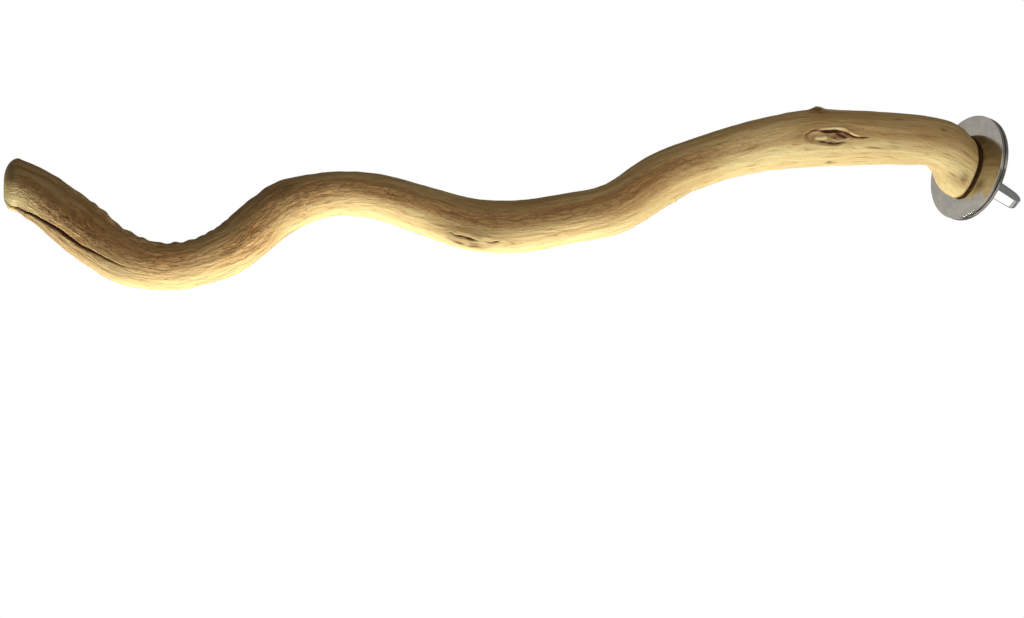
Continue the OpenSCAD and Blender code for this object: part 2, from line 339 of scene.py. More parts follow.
# The grown-over knot in the middle of the stick: short slits in a swelling
HEALED_SLITS = [
    ([(0.533, -53), (0.527, -55.5), (0.519, -54), (0.511, -56.5), (0.505, -55.5)], 0.60, 1.0),
    ([(0.5005, -56), (0.4945, -59.5), (0.485, -56.5)], 0.50, 0.8),
    ([(0.528, -71), (0.522, -72), (0.517, -69)], 0.45, 0.5),
    ([(0.515, -73.5), (0.508, -71.5), (0.499, -73)], 0.50, 0.7),
    ([(0.519, -62), (0.510, -64.5), (0.500, -63), (0.492, -65)], 0.40, 0.4),
    ([(0.490, -98), (0.482, -108)], 0.45, 0.4),
]
# The twig's own scar beside the step on the far bend
TWIG_SLITS = [([(0.709, 24), (0.7105, 17), (0.7135, 2)], 0.55, 0.5),
              ([(0.706, 20), (0.708, 10), (0.711, 1)], 0.35, 0.3)]
# Dents of the skin, and lumps, whose depth is below zero: reach, angle, depth, half length, and
# half width in degrees. The last is the lip of the twig's scar
DENTS = [
    (0.7243, 60, 1.4 * MM, 4.5 * MM, 30), (0.9640, 55, 0.9 * MM, 7.0 * MM, 35),
    (0.8990, 58, 1.0 * MM, 5.0 * MM, 35), (0.8476, -100, 0.8 * MM, 8.0 * MM, 35),
    (0.7981, -100, 0.8 * MM, 4.5 * MM, 30), (0.2990, -105, 0.7 * MM, 4.0 * MM, 30),
    (0.3203, -110, -0.5 * MM, 1.5 * MM, 15), (0.7085, 12, -0.35 * MM, 1.1 * MM, 9),
]
dents = np.zeros_like(radius)
for reach, turn, depth, half_length, half_width in DENTS:
    dents += depth * bell((place - reach) * STICK_LENGTH / half_length)[:, None] * bell(
        turn_between(angle, turn) / half_width)[None, :]
# Torn wood makes a slit deeper in one place than in the next
torn_depth = np.clip(0.90 + 0.45 * splintered, 0, 1.2)
for path, width, depth in KNOT_SLITS + HEALED_SLITS + TWIG_SLITS:
    grooves = np.maximum(grooves, torn_depth * slit(place, angle, path, width * MM, depth * MM))
ridges = np.zeros_like(radius)
for path, width, height in KNOT_RIDGES:
    ridges = np.maximum(ridges, slit(place, angle, path, width * MM, height * MM))
# The broken stub of a twig on top of the elbow: a low torn heap, not a clean plug. Its half
# length, half width and height are in mm
STUB_HALF_LENGTH, STUB_HALF_WIDTH, STUB_HEIGHT = 2.5, 2.8, 0.80
forward, upward = on_wood(place, angle, TWIG)
stub = (bell(np.hypot(forward / STUB_HALF_LENGTH, upward / STUB_HALF_WIDTH))
        * (STUB_HEIGHT + 0.85 * splintered + 0.35 * ragged) * MM)
radius = radius + relief + ridges + stub - dents - np.maximum(knot_floor, 0) - grooves
# A groove of this depth gets the darkest painted shade
DARK_DEPTH = 0.70 * MM
groove_and_cut_shade = np.clip(grooves / DARK_DEPTH, 0, 1)

# Where the wood is stained brown: round the knots, in their patches, and by the sawn heel. Each
# stain's spot, half length and half height in mm, and strength
STAINS = [
    ((0.153, -27), 13, 4.6, 0.45), ((0.147, -25), 5.5, 2.2, 0.70), ((0.174, -26), 2.0, 2.6, 0.60),
    ((0.135, -24), 3.2, 2.0, 1.0), ((0.165, -25), 2.6, 1.8, 0.60), ((0.512, -62), 13, 4.0, 0.35),
    ((0.524, -70), 4.2, 1.3, 0.75), ((0.508, -72), 4.4, 1.2, 0.80), ((0.486, -103), 2.2, 0.8, 0.6),
    ((0.038, 8), 0.75, 0.6, 1.0), ((0.159, 41), 3.2, 2.2, 0.90), ((0.710, 14), 4.0, 3.0, 0.45),
    ((0.147, -88), 1.8, 0.9, 0.7), ((0.008, -70), 1.4, 2.4, 0.75), ((0.095, -49), 8.0, 0.6, 0.4),
    ((0.890, -60), 20.0, 1.5, 0.30), ((0.965, -92), 12.0, 2.2, 0.60),
    ((0.012, -80), 2.2, 1.6, 0.45), ((0.940, -72), 16.0, 0.9, 0.65),
]
stain = np.zeros_like(radius)
for spot, half_length, half_height, strength in STAINS:
    forward, upward = on_wood(place, angle, spot)
    gap = (forward / half_length) ** 2 + (upward / half_height) ** 2
    stain = np.maximum(stain, strength * np.exp(-gap) * (1 + 0.35 * ragged + 0.25 * splintered))
# Pale torn wood on the chip and edges, partly a painted highlight
bare_and_lit_wood = chip
for path, width in BARE_AND_LIT_PATHS:
    bare_and_lit_wood = np.maximum(bare_and_lit_wood, np.minimum(1, 1.6 * slit(place, angle, path, width * MM, 1.0)))
stain = stain * (1 - 0.9 * bare_and_lit_wood)

normal, side, up = ring_axes(u)
spoke = (np.cos(np.radians(angle))[None, :, None] * side[:, None]
         + np.sin(np.radians(angle))[None, :, None] * up[:, None])
skin_rows = centre_at(u)[:, None] + radius[..., None] * spoke


def grid_faces(rows, columns, looped):
    """Four-sided faces of a grid whose columns join round, and whose rows may join too."""
    i = np.arange(rows if looped else rows - 1)[:, None]
    j = np.arange(columns)[None, :]
    a, b = i * columns + j, i * columns + (j + 1) % columns
    c, d = (i + 1) % rows * columns + (j + 1) % columns, (i + 1) % rows * columns + j
    return np.stack([a, b, c, d], axis=-1).reshape(-1, 4)


def surface_piece(name, grid, looped=False):
    """A mesh from a grid of points. Its rows are closed into a loop, or the first and last
    rows are closed by fans to their middle points. Its faces are turned outwards."""
    rows, columns = grid.shape[:2]
    points = grid.reshape(-1, 3)
    faces = grid_faces(rows, columns, looped)
    corners = points[faces]
    volume = np.einsum("ij,ij->", corners[:, 0], np.cross(corners[:, 1], corners[:, 2])
                       + np.cross(corners[:, 2], corners[:, 3]))
    faces = faces.tolist()
    if not looped:
        first = np.arange(columns)
        last = first + (rows - 1) * columns
        n = len(points)
        points = np.vstack([points, grid[0].mean(0), grid[-1].mean(0)])
        faces += [[int((k + 1) % columns), int(k), n] for k in first]
        faces += [[int(k), int(last[0] + (k + 1 - last[0]) % columns), n + 1] for k in last]
    if volume < 0:
        faces = [f[::-1] for f in faces]
    mesh = bpy.data.meshes.new(name)
    mesh.from_pydata(points.tolist(), [], faces)
    mesh.shade_smooth()
    piece = bpy.data.objects.new(name, mesh)
    bpy.context.scene.collection.objects.link(piece)
    return piece


def give_points(piece, name, values):
    """Stores a number or a vector on each point of a piece, for its material to read."""
    kind = "FLOAT_VECTOR" if values.ndim == 2 else "FLOAT"
    field = "vector" if values.ndim == 2 else "value"
    stored = piece.data.attributes.new(name, kind, "POINT")
    stored.data.foreach_set(field, values.astype(np.float32).ravel())


# The rows of the whole stick: the drilled hole, its edge broken, the cut face, the skin, and
# the free end
HOLE_BEVEL = 0.2 * MM
hole = SCREW_DIAMETER / 2
hole_axis = np.array([-WASHER_THICKNESS, 0, 0])
hole_rows = [hole_axis + [-back, 0, 0] + reach * spoke[0]
             for back, reach in ((SCREW_LENGTH, 0.2 * hole), (SCREW_LENGTH, hole),
                                 (HOLE_BEVEL, hole), (0, hole + HOLE_BEVEL))]
# The sawn rim is broken by a bevel with a crisp edge towards the skin
rim_rows = [CUT_CENTRE + np.array([-RIM_BEVEL * back, 0, 0])
            + (radius[0] - RIM_BEVEL * inward)[:, None] * spoke[0]
            for back, inward in ((0, 1), (0.04, 0.85), (0.30, 0.50), (0.62, 0.20),
                                 (0.84, 0.04), (1, 0))]
face_rows = [hole_rows[-1] * (1 - t) + rim_rows[0] * t for t in (0.3, 0.6, 0.9)] + rim_rows[:-1]
skin_rows[0] = rim_rows[-1]
tip_turns = np.radians(np.linspace(0, 90, 9)[1:])
# Worn round on top and less so below, where its profile is squarer
power = (TIP_POWER + TIP_POWER_ON_TOP * np.sin(np.radians(angle)))[:, None]
tip_rows = [centre_at(u[-1:])[0]
            + STICK_THICKNESS * TIP_LONG_SHARE * math.sin(t) ** power * normal[-1]
            + (TIP_FLAT_SHARE + (1 - TIP_FLAT_SHARE) * math.cos(t) ** power)
            * radius[-1][:, None] * spoke[-1] for t in tip_turns]
end_centre = tip_rows[-1].mean(0)
end_rows = [end_centre + (tip_rows[-1] - end_centre) * t for t in (0.75, 0.5, 0.25, 0.05)]
rows = np.concatenate([np.array(hole_rows), np.array(face_rows), skin_rows,
                       np.array(tip_rows), np.array(end_rows)])
before, after = len(hole_rows) + len(face_rows), len(tip_rows) + len(end_rows)
stick = surface_piece("stick", rows)


def with_poles(whole):
    """The values of all rows in one list, then the mean of the first row and of the last."""
    flat = whole.reshape((-1,) + whole.shape[2:])
    return np.concatenate([flat, whole[0].mean(0)[None], whole[-1].mean(0)[None]])


def flat_places(points, origin, s, t, x):
    """Places on the straight stick of rows that lie across it."""
    across = points - origin
    return np.stack([np.full(points.shape[:2], x), across @ s, across @ t], axis=-1)


give_points(stick, "straight", with_poles(np.concatenate([
    flat_places(rows[:before], CUT_CENTRE, side[0], up[0], 0), straight,
    flat_places(rows[before + len(straight):], centre_at(u[-1:])[0], side[-1], up[-1],
                along[-1])])))
# The underside is paler, partly from peeling and partly as painted light from the lamps below, more
# so at some reaches than at others: reach, how far up round the stick the pale wood goes (1 is its
# top), and how pale it is
PEELED_AND_PAINTED_LIGHT = np.array([
    (0.00, 0.10, 0.90), (0.06, 0.15, 0.90), (0.15, 0.30, 1.00), (0.19, 0.55, 1.00),
    (0.24, 0.50, 1.00), (0.285, 0.00, 0.55), (0.35, -0.10, 0.45), (0.40, -0.15, 0.70),
    (0.46, -0.10, 0.90), (0.60, -0.10, 1.00), (0.68, 0.10, 1.00), (0.72, 0.55, 1.00),
    (0.78, 0.55, 1.00), (0.82, 0.10, 1.00), (0.90, 0.10, 1.00), (0.95, 0.15, 1.00)])
PEEL_FADE, PEEL_WANDER = 0.80, 0.18
pale_edge, pale_share = (np.interp(place, PEELED_AND_PAINTED_LIGHT[:, 0], PEELED_AND_PAINTED_LIGHT[:, k])[:, None] for k in (1, 2))
wander = PEEL_WANDER * waves(straight, (40 * MM, 9 * MM, 9 * MM), 24, 9)
peeled_and_painted_lit_underside = pale_share * ease((pale_edge - spoke[..., 2] + wander) / PEEL_FADE)
# The palest part, on the very bottom, is partly a painted highlight from the lamps below
palest_peel_and_painted_highlight = peeled_and_painted_lit_underside * ease((-0.40 - spoke[..., 2]) / 0.40)
# The flank, where the dried skin is crinkled and its darker tint and dark crinkle lines are partly
# painted shade of the raking lamps, least so by the washers: reach and share
FLANK = np.array([(0.00, 0.10), (0.12, 0.20), (0.20, 0.30), (0.30, 0.80), (0.60, 1.0),
                  (0.93, 1.0), (0.99, 0.3)])
FLANK_MIDDLE, FLANK_HALF_WIDTH = -0.17, 0.38
flank_crinkle_and_shade = (np.interp(place, FLANK[:, 0], FLANK[:, 1])[:, None]
         * bell((spoke[..., 2] - FLANK_MIDDLE) / FLANK_HALF_WIDTH)
         * np.clip(0.45 + patchy, 0, 1))
weathered = (ease((place - 0.55) / 0.25)[:, None]
             * (0.20 + 0.80 * ease((patchy - 0.35) / 0.5)) + 0.10)
# Each is led on over the drilled cut face and the free end, which is sawn but for its first rows
for name, values, at_cut, at_tip in (
        # Painted shade lies in the grooves, and half of it over the drilled cut face by the washer
        ("groove_and_cut_shade", groove_and_cut_shade, 0.5, 0.6 * groove_and_cut_shade[-1]), ("stain", stain, 0, 0), ("bare_and_lit_wood", bare_and_lit_wood, 0, 0),
        ("peeled_and_painted_lit_underside", peeled_and_painted_lit_underside, 0, peeled_and_painted_lit_underside[-1]), ("palest_peel_and_painted_highlight", palest_peel_and_painted_highlight, 0, palest_peel_and_painted_highlight[-1]),
        ("flank_crinkle_and_shade", flank_crinkle_and_shade, 0, 0.2 * flank_crinkle_and_shade[-1]), ("weathered", weathered, 0, 0),
        ("sawn", 0 * radius, 1, ease((np.arange(after) - 5) / 4)[:, None])):
    give_points(stick, name, with_poles(np.concatenate([
        np.broadcast_to(at_cut, (before, POINTS_AROUND)), values,
        np.broadcast_to(at_tip, (after, POINTS_AROUND))])))


def tone(hex_code):
    """Linear red, green, blue and alpha of an sRGB hex colour."""
    srgb = np.array([int(hex_code[i:i + 2], 16) for i in (1, 3, 5)]) / 255
    linear = np.where(srgb <= 0.04045, srgb / 12.92, ((srgb + 0.055) / 1.055) ** 2.4)
    return (*linear.tolist(), 1.0)


def feed(tree, inputs, values):
    """Gives each input its value, or a link from the socket of an earlier node."""
    for key, value in values.items():
        if isinstance(value, bpy.types.NodeSocket):
            tree.links.new(value, inputs[key])
        else:
            inputs[key].default_value = value


def node(tree, kind, inputs=None, **settings):
    """Adds a shader node of that kind with its settings, and feeds its inputs."""
    made = tree.nodes.new("ShaderNode" + kind)
    for key, value in settings.items():
        setattr(made, key, value)
    feed(tree, made.inputs, inputs or {})
    return made


def finish_named(name):
    """A new material, its tree and its Principled shader, named for the real finish."""
    material = bpy.data.materials.new(name)
    material.use_nodes = True
    return material, material.node_tree, material.node_tree.nodes["Principled BSDF"]


# Peeled hardwood, dried raw: dull fibres that catch raking light, paler on the underside, partly
# from peeling and partly as painted light from below
wood, tree, shader = finish_named("peeled_hardwood")
on_stick = {name: node(tree, "Attribute", attribute_name=name).outputs["Fac"]
            for name in ("peeled_and_painted_lit_underside", "palest_peel_and_painted_highlight", "flank_crinkle_and_shade", "weathered", "groove_and_cut_shade", "stain", "bare_and_lit_wood",
                         "sawn")}
laid_straight = node(tree, "Attribute", attribute_name="straight").outputs["Vector"]
# The grain wanders up to 1.2 mm off its line, in waves about 14 mm long and 8 mm wide
WANDER_LENGTH, WANDER_WIDTH, WANDER_SPAN = 14.286 * MM, 8.333 * MM, 2.4 * MM
wander = node(tree, "TexNoise", {"Vector": node(
    tree, "Mapping", {"Vector": laid_straight, "Scale": (
        1 / WANDER_LENGTH, 1 / WANDER_WIDTH, 1 / WANDER_WIDTH)}).outputs["Vector"],
    "Scale": 1.0, "Detail": 2.0})
wander = node(tree, "VectorMath", {0: wander.outputs["Color"], 1: (0.5, 0.5, 0.5)},
              operation="SUBTRACT")
wander = node(tree, "VectorMath", {0: wander.outputs["Vector"], "Scale": WANDER_SPAN},
              operation="SCALE")
along_grain = node(tree, "VectorMath", {
    0: laid_straight, 1: wander.outputs["Vector"]}).outputs["Vector"]
# Patterns along the grain: length and width in mm, and the detail and roughness of the noise
PATTERNS = {
    # Fibres, as coarse as they need to be to show
    "fibre": (9.091, 0.8, 3.0, 0.55),
    # Short strokes where the knife lifted the fibres
    "stroke": (1.4286, 0.7143, 2.0, 0.60),
    # Broad streaks
    "streak": (62.5, 3.03, 3.0, 0.55),
    # Thin dark lines, mostly on the weathered far half
    "line": (38.46, 3.03, 2.0, 0.60),
    # Crinkled lines in the dried skin of the flank, their dark colour partly painted shade
    "crinkle": (5.882, 1.1765, 2.0, 0.55),
    # Sparse pores and dirt
    "fleck": (2.381, 0.9091, 1.0, 0.50),
}
grain = {name: node(tree, "TexNoise", {"Vector": node(
    tree, "Mapping", {"Vector": along_grain, "Scale": (
        1 / (length * MM), 1 / (width * MM), 1 / (width * MM))}).outputs["Vector"],
    "Scale": 1.0, "Detail": detail, "Roughness": roughness}).outputs["Fac"]
    for name, (length, width, detail, roughness) in PATTERNS.items()}
# Growth rings on the sawn faces, round the middle of the stick
RING_SPACING = 1.3 * MM
apart = node(tree, "SeparateXYZ", {0: along_grain})
across = node(tree, "CombineXYZ", {"Y": apart.outputs["Y"], "Z": apart.outputs["Z"]})
from_middle = node(tree, "VectorMath", {0: across.outputs["Vector"]}, operation="LENGTH")
ring = node(tree, "Math", {0: from_middle.outputs["Value"], 1: 2 * math.pi / RING_SPACING},
            operation="MULTIPLY")
ring = node(tree, "Math", {0: ring.outputs["Value"]}, operation="SINE")
# Where each begins to show, and where it shows in full
shown = {name: node(tree, "MapRange", {"Value": value, "From Min": low, "From Max": high},
                    interpolation_type="SMOOTHSTEP").outputs["Result"]
         for name, value, low, high in (
             ("streak", grain["streak"], 0.34, 0.66), ("fibre", grain["fibre"], 0.50, 0.90),
             ("fleck", grain["fleck"], 0.80, 0.90), ("groove_and_cut_shade", on_stick["groove_and_cut_shade"], 0.12, 0.80),
             ("ring", ring.outputs["Value"], -0.6, 0.9))}
# A line lies where its pattern passes its middle value: in full within a core, gone outside an
# edge, and as strong as its place on the stick makes it
for name, where, core, edge, strength in (("line", "weathered", 0.002, 0.020, 0.60),
                                          ("crinkle", "flank_crinkle_and_shade", 0.0, 0.060, 0.75)):
    off_line = node(tree, "Math", {0: grain[name], 1: 0.5}, operation="SUBTRACT")
    off_line = node(tree, "Math", {0: off_line.outputs["Value"]}, operation="ABSOLUTE")
    near_line = node(tree, "MapRange", {
        "Value": off_line.outputs["Value"], "From Min": core, "From Max": edge,
        "To Min": strength, "To Max": 0.0})
    shown[name] = node(tree, "Math", {
        0: near_line.outputs["Result"], 1: on_stick[where]}, operation="MULTIPLY").outputs["Value"]
# The skin, its pale underside and the palest of that, which are partly painted light from below, by
# their streaks, and the sawn faces
skin, peeled_and_lit_tone, palest_peeled_and_lit_tone, end_grain = (
    node(tree, "Mix", {0: shown[by], 6: tone(first), 7: tone(second)},
         data_type="RGBA").outputs[2]
    for by, first, second in (("streak", "#AB8751", "#C8A96F"), ("streak", "#D0AE70", "#E0C487"),
                              ("streak", "#DDC283", "#E8D494"), ("ring", "#AA8554", "#805D36")))
# What lies over the skin, in order: its share, its colour, and how it is laid on
for share, colour, laid in (
        # The pale underside and its palest part are partly painted light from the lamps below
        (on_stick["peeled_and_painted_lit_underside"], peeled_and_lit_tone, "MIX"), (on_stick["palest_peel_and_painted_highlight"], palest_peeled_and_lit_tone, "MIX"),
        (shown["fibre"], tone("#966536"), "MIX"),
        (on_stick["weathered"], tone("#FFF2E8"), "MULTIPLY"),
        # The flank's darker tint and its crinkle lines are partly painted shade where the lamps
        # rake
        (on_stick["flank_crinkle_and_shade"], tone("#FFEFE3"), "MULTIPLY"),
        (shown["line"], tone("#85572D"), "MIX"), (shown["crinkle"], tone("#7C4E2C"), "MIX"),
        (shown["fleck"], tone("#7A532D"), "MIX"), (on_stick["stain"], tone("#7E5731"), "MIX"),
        # Pale torn wood, partly a painted highlight on the knot's lip
        (on_stick["bare_and_lit_wood"], tone("#EAD298"), "MIX"), (on_stick["sawn"], end_grain, "MIX"),
        # Painted shade in the grooves and on the cut face
        (shown["groove_and_cut_shade"], tone("#4C2410"), "MIX")):
    skin = node(tree, "Mix", {0: share, 6: skin, 7: colour},
                data_type="RGBA", blend_type=laid).outputs[2]
# Fibres and strokes stand up by this much, and lines and crinkles lie lower by this share of it
FIBRE_LIFT, LINE_DROP = 0.50 * MM, 0.6
height = node(tree, "Math", {0: grain["fibre"], 1: grain["stroke"]}, operation="ADD")
for name in ("line", "crinkle"):
    drop = node(tree, "Math", {0: shown[name], 1: LINE_DROP}, operation="MULTIPLY")
    height = node(tree, "Math", {
        0: height.outputs["Value"], 1: drop.outputs["Value"]}, operation="SUBTRACT")
raised = node(tree, "Bump", {
    "Height": height.outputs["Value"], "Distance": FIBRE_LIFT, "Strength": node(
        tree, "MapRange", {"Value": on_stick["weathered"], "To Min": 0.60, "To Max": 1.0}
    ).outputs["Result"]})
feed(tree, shader.inputs, {
    "Base Color": skin, "IOR": 1.5, "Specular IOR Level": 0.3, "Normal": raised.outputs["Normal"],
    "Roughness": node(tree, "MapRange", {
        "Value": grain["fibre"], "To Min": 0.62, "To Max": 0.80}).outputs["Result"]})
stick.data.materials.append(wood)
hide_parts("branch")
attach(stick, "perch")

# The hanger bolt
# A double-ended steel screw, zinc plated: a wood thread turned into the drilled cut end, and
# a rolled M6 machine thread that stands out of it for the washers and the wing nut.
STUD_DIAMETER = 6 * MM
STUD_LENGTH = 15.5 * MM
STUD_PITCH, STUD_GROOVE = 1.0 * MM, 0.6 * MM
WOOD_PITCH, WOOD_GROOVE = 2.2 * MM, 0.8 * MM
# Shares of the pitch over which each crest is flat, to either side of its middle
STUD_FLAT, WOOD_FLAT = 0.10, 0.30
# The stud's chamfered end and the screw's point: how long, and the radius at their tips
STUD_CHAMFER, SCREW_POINT = (0.8 * MM, 2.1 * MM), (4 * MM, 0.15 * MM)
CUT_X = -WASHER_THICKNESS


def threaded_rows(start, end, pitch, crest, groove, flat, tip, way, around=72):
    """Rows of a right-hand thread along X. The radius at (x, angle) is the crest less the
    groove times a rounded V, flat on its crest, of the phase x/pitch - angle/360, and no more
    than a cone from the tip's radius at one end, which is the start where way is 1."""
    x = np.arange(start, end + pitch / 40, pitch / 20)
    turn = np.linspace(0, 360, around, endpoint=False)
    phase = (x[:, None] / pitch - turn[None, :] / 360) % 1
    valley = ease(np.clip((0.5 - np.abs(phase - 0.5)) / (0.5 - flat), 0, 1))
    from_tip = np.maximum(0, x - start if way == 1 else end - x)[:, None]
    r = np.minimum(crest - groove * (1 - valley), tip[1] + from_tip * (crest - tip[1]) / tip[0])
    return np.stack([np.broadcast_to(x[:, None], r.shape), r * np.cos(np.radians(turn)),
                     r * np.sin(np.radians(turn))], axis=-1)


screw = threaded_rows(CUT_X - SCREW_LENGTH, CUT_X - 0.5 * MM, WOOD_PITCH, SCREW_DIAMETER / 2,
                      WOOD_GROOVE, WOOD_FLAT, SCREW_POINT, 1)
machine = threaded_rows(CUT_X, CUT_X + STUD_LENGTH, STUD_PITCH, STUD_DIAMETER / 2,
                        STUD_GROOVE, STUD_FLAT, STUD_CHAMFER, -1)
bolt = surface_piece("threaded_stud", np.concatenate([screw, machine]))


def cloudy_metal(name, cloud_width, darker, lighter, smooth, rough):
    """A metal finish whose colour and roughness vary with clouds of that width."""
    material, tree, shader = finish_named(name)
    clouds = node(tree, "TexNoise", {
        "Vector": node(tree, "TexCoord").outputs["Object"],
        "Scale": 1 / cloud_width, "Detail": 3.0}).outputs["Fac"]
    feed(tree, shader.inputs, {
        "Base Color": node(tree, "Mix", {
            0: clouds, 6: tone(darker), 7: tone(lighter)}, data_type="RGBA").outputs[2],
        "Metallic": 1.0, "Roughness": node(tree, "MapRange", {
            "Value": clouds, "To Min": smooth, "To Max": rough}).outputs["Result"]})
    return material, tree, shader, clouds


# Bright zinc over rolled steel: cool grey, with a soft gloss and faint clouds 1.1 mm wide
zinc = cloudy_metal("bright_zinc_plated_steel", 1.111 * MM, "#A9ABAC", "#C6C8C9", 0.22, 0.38)[0]
bolt.data.materials.append(zinc)
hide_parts("hanger_bolt")
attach(bolt, "perch")

# The washers
# Two stamped penny washers of mild steel, plated. Each has the rolled edge and the sharp edge
# that the punch leaves. One bears on the cut end, and the other on the cage under the nut.
WASHER_DIAMETER = 40 * MM
WASHER_HOLE = 6.6 * MM
# The faces that turn on each other stay a hair apart
FACE_GAP = 0.02 * MM
# How far each edge is rounded along the stud, and in from the rim
ROLLED_EDGE = (0.30 * MM, 1.0 * MM)
SHARP_EDGE = (0.16 * MM, 0.16 * MM)


def rounded_outline(corners, rounds, steps=6):
    """A closed outline of (x, radius) points. Each corner is cut by a round that starts and
    ends at its two distances along x and along the radius, or at one distance along both."""
    points = []
    count = len(corners)
    for k in range(count):
        before, here, after = (np.array(corners[(k + d) % count], float) for d in (-1, 0, 1))
        reach = np.broadcast_to(rounds[k], 2)
        legs = [unit(end - here) * reach[np.argmax(np.abs(end - here))] for end in (before, after)]
        first, second = here + legs[0], here + legs[1]
        for t in np.linspace(0, 1, steps):
            points.append((1 - t) ** 2 * first + 2 * t * (1 - t) * here + t**2 * second)
    return np.array(points)


def turned_rows(outline, around=256):
    """Rows of an outline of (x, radius) points turned about X."""
    turn = np.linspace(0, 2 * math.pi, around, endpoint=False)
    x, r = outline[:, 0:1], outline[:, 1:2]
    return np.stack([np.broadcast_to(x, (len(outline), around)), r * np.cos(turn),
                     r * np.sin(turn)], axis=-1)


def washer(name, start, end, rolled_first):
    """A washer from one x to another, with its rolled edge at the first face or the far one."""
    near, far = (ROLLED_EDGE, SHARP_EDGE) if rolled_first else (SHARP_EDGE, ROLLED_EDGE)
    outline = rounded_outline(
        [(start, WASHER_HOLE / 2), (start, WASHER_DIAMETER / 2),
         (end, WASHER_DIAMETER / 2), (end, WASHER_HOLE / 2)],
        [SHARP_EDGE, near, far, SHARP_EDGE])
    return surface_piece(name, turned_rows(outline), looped=True)


# Dull zinc over cold-rolled sheet: grey with a warm cast, mottled, with fine rolling lines
sheet_steel, tree, shader = finish_named("dull_zinc_plated_sheet")
MOTTLE_WIDTH = 3.846 * MM
# Rolling lines 22 mm long and 0.5 mm apart, as coarse as they need to be to show
LINE_LENGTH, LINE_SPACING = 22.22 * MM, 0.5 * MM
# Painted shade and grime in the seam where the two rims meet: none from these distances, first from
# the seam and then from the stud
SEAM_SHADE_AND_GRIME, RIM_SHADE_AND_GRIME = (0.16 * MM, 0.40 * MM), (19.4 * MM, 18.9 * MM)
spots = node(tree, "TexCoord").outputs["Object"]
mottle = node(tree, "TexNoise", {"Vector": spots, "Scale": 1 / MOTTLE_WIDTH, "Detail": 6.0,
                                 "Roughness": 0.6})
rolling = node(tree, "TexNoise", {"Vector": node(
    tree, "Mapping", {"Vector": spots, "Scale": (
        1 / LINE_SPACING, 1 / LINE_SPACING, 1 / LINE_LENGTH)}).outputs["Vector"],
    "Scale": 1.0, "Detail": 2.0})
apart = node(tree, "SeparateXYZ", {0: spots})
off_seam = node(tree, "Math", {0: apart.outputs["X"]}, operation="ABSOLUTE")
from_stud = node(tree, "VectorMath", {0: node(tree, "CombineXYZ", {
    "Y": apart.outputs["Y"], "Z": apart.outputs["Z"]}).outputs["Vector"]}, operation="LENGTH")
mottled, off_seam, off_rim = (
    node(tree, "MapRange", {"Value": value, "From Min": low, "From Max": high},
         interpolation_type="SMOOTHSTEP").outputs["Result"]
    for value, low, high in ((mottle.outputs["Fac"], 0.3, 0.7),
                             (off_seam.outputs["Value"], *SEAM_SHADE_AND_GRIME),
                             (from_stud.outputs["Value"], *RIM_SHADE_AND_GRIME)))
clear_of_shade_and_grime = node(tree, "Math", {0: off_seam, 1: off_rim}, operation="MAXIMUM")
plating = node(tree, "Mix", {0: mottled, 6: tone("#A5A096"), 7: tone("#B5B0A5")},
               data_type="RGBA").outputs[2]
gloss = node(tree, "Math", {0: mottle.outputs["Fac"], 1: rolling.outputs["Fac"]},
             operation="ADD")
scored = node(tree, "Bump", {"Height": rolling.outputs["Fac"], "Distance": 0.01 * MM})
# The dark grey in the seam is painted shade and grime
feed(tree, shader.inputs, {
    "Base Color": node(tree, "Mix", {
        0: clear_of_shade_and_grime.outputs["Value"], 6: tone("#3B3935"), 7: plating}, data_type="RGBA").outputs[2],
    "Metallic": 1.0, "Normal": scored.outputs["Normal"],
    "Roughness": node(tree, "MapRange", {
        "Value": gloss.outputs["Value"], "From Min": 0.6, "From Max": 1.4, "To Min": 0.08,
        "To Max": 0.20}).outputs["Result"]})
inner = washer("washer_by_wood", -WASHER_THICKNESS, -FACE_GAP, False)
outer = washer("washer_by_nut", 0.0, WASHER_THICKNESS, True)
for piece, cad_name in ((inner, "inner_washer"), (outer, "outer_washer")):
    piece.data.materials.append(sheet_steel)
    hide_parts(cad_name)
    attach(piece, cad_name)

# The wing nut
# A cast nut, nickel plated: a tapered boss tapped M6, with two rounded wings whose faces are
# recessed inside a raised rim. The wings flare into the boss, and each has a crisp edge on the
# side of the mould's parting line and a soft one on the other.
BOSS_BASE = 12.6 * MM
BOSS_TOP = 10.4 * MM
BOSS_HEIGHT = 8 * MM
BASE_BEVEL, TOP_BEVEL = 0.60 * MM, 0.78 * MM
BORE_BEVEL_BELOW, BORE_BEVEL_ABOVE = 0.3 * MM, 0.5 * MM
WING_REACH = 15.8 * MM
WING_HEIGHT = 16.6 * MM
WING_TIP = 3.9 * MM
FOOT_CENTRE = (7 * MM, 3 * MM)
WING_FOOT = 4.6 * MM
WING_LIFT = 0.4 * MM
TIP_THICKNESS, FOOT_THICKNESS = 4.2 * MM, 4.8 * MM
WING_RIM = 1.3 * MM
WING_RECESS = 0.5 * MM
CRISP_EDGE, SOFT_EDGE = 0.4 * MM, 1.0 * MM
WING_TURN = math.radians(60)
NUT_GAP = 0.05 * MM
CASTING_GRAIN = 0.15 * MM


